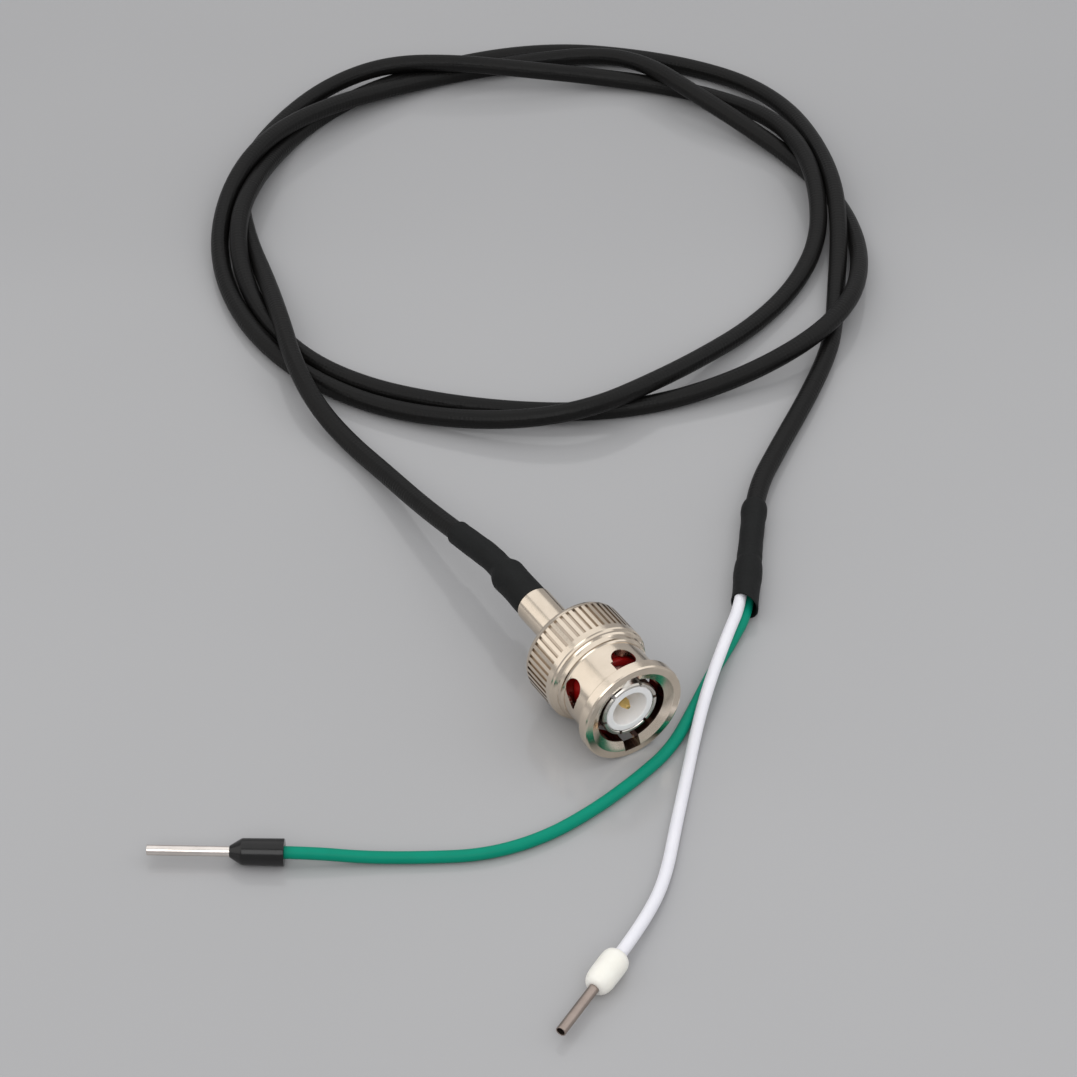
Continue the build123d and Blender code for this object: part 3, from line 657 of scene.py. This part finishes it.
# ------------------------------------------------------------------ ferrules
CL = 6.8
WCL = 6.0
bc = rounded([(0, 0.86), (0.0, 1.66), (0.06, 1.74), (CL - 1.62, 1.70), (CL - 1.40, 1.62), (CL - 0.10, 0.80), (CL, 0.74), (CL, 0.67), (4.2, 0.81), (2.55, 0.86)],
             [0.05, 0.06, 0.08, 0.25, 0.25, 0.06, 0.03, 0.02, 0.05, 0.05])
black_collar = lathe("ferrule_collar_black", GREEN_END, GREEN_DIR, bc, NYLON_BLACK, 72)
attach(black_collar, "plug")
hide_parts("black_collar")
wc = rounded([(0, 0.86), (0, 1.06), (0.10, 1.36), (0.34, 1.60), (0.70, 1.75), (1.2, 1.82), (2.0, 1.83), (3.1, 1.81), (4.2, 1.79), (4.8, 1.73), (5.3, 1.57),
              (5.68, 1.32), (5.9, 1.03), (WCL, 0.80), (WCL, 0.67), (3.9, 0.81), (2.55, 0.86)],
             [0.05, 0.1, 0.1, 0.12, 0.15, 0.2, 0.3, 0.4, 0.4, 0.25, 0.2, 0.15, 0.12, 0.05, 0.02, 0.05, 0.05], 3)
white_collar = lathe("ferrule_collar_white", WHITE_END, WHITE_DIR, wc, NYLON_IVORY, 72, smooth=45.0,
                     warp=lambda t, a: 1.0 + 0.006 * noise.noise(Vector((t * 0.9, math.cos(a), math.sin(a)))))
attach(white_collar, "plug")
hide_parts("white_collar")

def with_steps(prof, a0, a1, n):
    """More rings on the outside between two stations, so that a warp has something to move."""
    out = []
    for (p, q), (r, s) in zip(prof, prof[1:] + prof[:1]):
        out.append((p, q))
        if abs(p - a0) < 0.4 and r > a1 - 0.4 and q > 0.6:
            for k in range(1, n):
                f = k / n
                out.append((p + (r - p) * f, q + (s - q) * f))
    return out


def tube_profile(collar, shows, funnel):
    prof = rounded([(2.6, 0.70), (2.6, 0.84), (funnel, 0.80), (collar - 0.05, 0.66), (collar + shows, 0.665), (collar + shows, 0.525),
                    (collar - 0.05, 0.52), (funnel, 0.66)], [0.02, 0.02, 0.1, 0.1, 0.05, 0.035, 0.1, 0.1])
    return with_steps(prof, collar - 0.05, collar + shows - 0.25, 60)


def tube_warp(seed):
    def f(t, a):
        return 1.0 + 0.004 * noise.noise(Vector((t * 0.8 + seed, math.cos(a) * 0.7, math.sin(a) * 0.7)))
    return f


green_tube = lathe("ferrule_tube_green", GREEN_END, GREEN_DIR, tube_profile(CL, 10.25, 4.2), TIN_GREEN, 48, smooth=40.0, warp=tube_warp(2.0))
white_tube = lathe("ferrule_tube_white", WHITE_END, WHITE_DIR, tube_profile(WCL, 7.75, 3.9), TIN_WHITE, 48, smooth=40.0, warp=tube_warp(7.0))
for o, n in ((green_tube, "green_ferrule_tube"), (white_tube, "white_ferrule_tube")):
    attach(o, "plug")
    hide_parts(n)


# strands: nineteen fine wires, twisted, in the ferrule and in the splice
def strand_bundle(name, runs, mat, wire=0.088):
    verts, faces = [], []
    for p0, p1, rad, pitch in runs:
        p0, p1 = Vector(p0), Vector(p1)
        d = (p1 - p0).normalized()
        u = d.cross(Vector((0, 0, 1))).normalized()
        v = d.cross(u)
        L_ = (p1 - p0).length
        places = [(0.0, 0.0)] + [(rad * 0.46, k * math.pi / 3) for k in range(6)] + [(rad * 0.90, k * math.pi / 6 + 0.26) for k in range(12)]
        n = max(8, int(L_ / 0.5))
        sg = 8
        for ri, (rr, ph) in enumerate(places):
            base = len(verts)
            rr = max(0.0, min(rr, rad - wire))
            end = L_ - (0.18 * ((ri * 7) % 5) / 4)
            for i in range(n + 1):
                s_ = end * i / n
                tw = 2 * math.pi * s_ / pitch
                c = p0 + d * s_ + (u * math.cos(ph + tw) + v * math.sin(ph + tw)) * rr
                for k in range(sg):
                    a = 2 * math.pi * k / sg
                    verts.append((c + (u * math.cos(a) + v * math.sin(a)) * wire) * MM)
            for i in range(n):
                for k in range(sg):
                    j = (k + 1) % sg
                    faces.append((base + i * sg + k, base + i * sg + j, base + (i + 1) * sg + j, base + (i + 1) * sg + k))
            faces.append(tuple(base + k for k in range(sg))[::-1])
            faces.append(tuple(base + n * sg + k for k in range(sg)))
    return obj_from(name, verts, faces, mat, None, 60.0)


def sleeve_pt(t, off, k=1.0):
    return SLEEVE_S + SD * t + off * k


KK = 0.72 / 0.805
white_str = strand_bundle("strands_white", [
    (WHITE_END + WHITE_DIR * 2.05, WHITE_END + WHITE_DIR * (WCL + 5.75), 0.48, 9.0),
    (sleeve_pt(9.5, WHITE_OFF, KK), sleeve_pt(15.3, WHITE_OFF), 0.34, 8.0)], STRANDS, 0.082)
green_str = strand_bundle("strands_green", [
    (GREEN_END + GREEN_DIR * 2.05, GREEN_END + GREEN_DIR * (CL + 8.25), 0.48, 9.0),
    (sleeve_pt(11.1, GREEN_OFF, KK), sleeve_pt(15.3, GREEN_OFF), 0.34, 8.0)], STRANDS, 0.082)
for o, n in ((white_str, "white_strands"), (green_str, "green_strands")):
    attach(o, "plug")
    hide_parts(n)

# ------------------------------------------------------------------ carried-over CAD nodes
for node, mat in (("coupling_nut", NUT), ("retaining_ring", SPRING), ("plug_body", NICKEL), ("outer_contact", NICKEL_DULL),
                  ("front_insulator", PTFE), ("rear_insulator", PTFE), ("centre_contact", GOLD), ("gasket", RED),
                  ("thrust_washer", SPRING), ("crimp_ferrule", NICKEL), ("cable_conductor", COPPER),
                  ("cable_dielectric", PE), ("cable_braid", STRANDS), ("core_splice", NICKEL_DULL), ("shield_splice", NICKEL_DULL),
                  ("core_tail", COPPER), ("braid_pigtail", STRANDS)):
    repaint(node, mat)

# ------------------------------------------------------------------ the wave spring, copied into a mesh of its own in spring steel
spring_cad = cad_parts["wave_spring"]
spring_mesh = spring_cad.data.copy()
spring_mesh.transform(spring_cad.matrix_world)
spring_mesh.materials.clear()
spring_mesh.materials.append(SPRING)
wave_washers = bpy.data.objects.new("wave_washers", spring_mesh)
scene.collection.objects.link(wave_washers)
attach(wave_washers, "plug")
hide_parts("wave_spring")
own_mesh(wave_washers)

# ------------------------------------------------------------------ floor and light
fm = Mat("floor")
fobj = fm.coord("Object")
fn = fm.noise(fobj, 6.0, 3.0)
fm.link(fm.ramp(fn, [(0.3, lin(168, 168, 169)), (0.7, lin(172, 172, 173))]), fm.b.inputs["Base Color"])
fm.b.inputs["Roughness"].default_value = 0.12
fm.b.inputs["Specular IOR Level"].default_value = 0.35
bpy.ops.mesh.primitive_plane_add(size=6.0, location=(0, 0, 0))
floor = bpy.context.object
floor.name = "floor"
floor.data.materials.append(fm.m)

world = bpy.data.worlds.new("studio")
scene.world = world
world.use_nodes = True
wt = world.node_tree
bg = wt.nodes["Background"]
bg.inputs["Color"].default_value = (0.98, 0.98, 1.0, 1.0)
bg.inputs["Strength"].default_value = 0.46


def area(name, loc, target, size, power, colour=(1, 1, 1)):
    d = bpy.data.lights.new(name, "AREA")
    d.shape = "RECTANGLE"
    d.size, d.size_y = size
    d.energy = power
    d.color = colour
    o = bpy.data.objects.new(name, d)
    scene.collection.objects.link(o)
    o.location = loc
    o.rotation_mode = "QUATERNION"
    o.rotation_quaternion = (Vector(target) - Vector(loc)).to_track_quat("-Z", "Y")
    return o


C = Vector((0.02, 0.04, 0.0))
RIGHT = Vector((math.cos(AZ), math.sin(AZ), 0))
FWD = Vector((-BACK.x, -BACK.y, 0)).normalized()
area("key_top", C + Vector((0, 0, 0.8)) + FWD * 0.25, C, (1.3, 1.3), 3.3)
area("left_box", C - RIGHT * 0.75 + Vector((0, 0, 0.45)) - FWD * 0.15, C, (0.8, 0.8), 1.5, (1.0, 0.98, 0.95))
area("right_box", C + RIGHT * 0.8 + Vector((0, 0, 0.5)), C, (0.8, 0.8), 1.4, (0.98, 0.99, 1.0))
area("front_box", C - FWD * 0.75 + Vector((0, 0, 0.7)), C, (1.1, 0.6), 3.8)
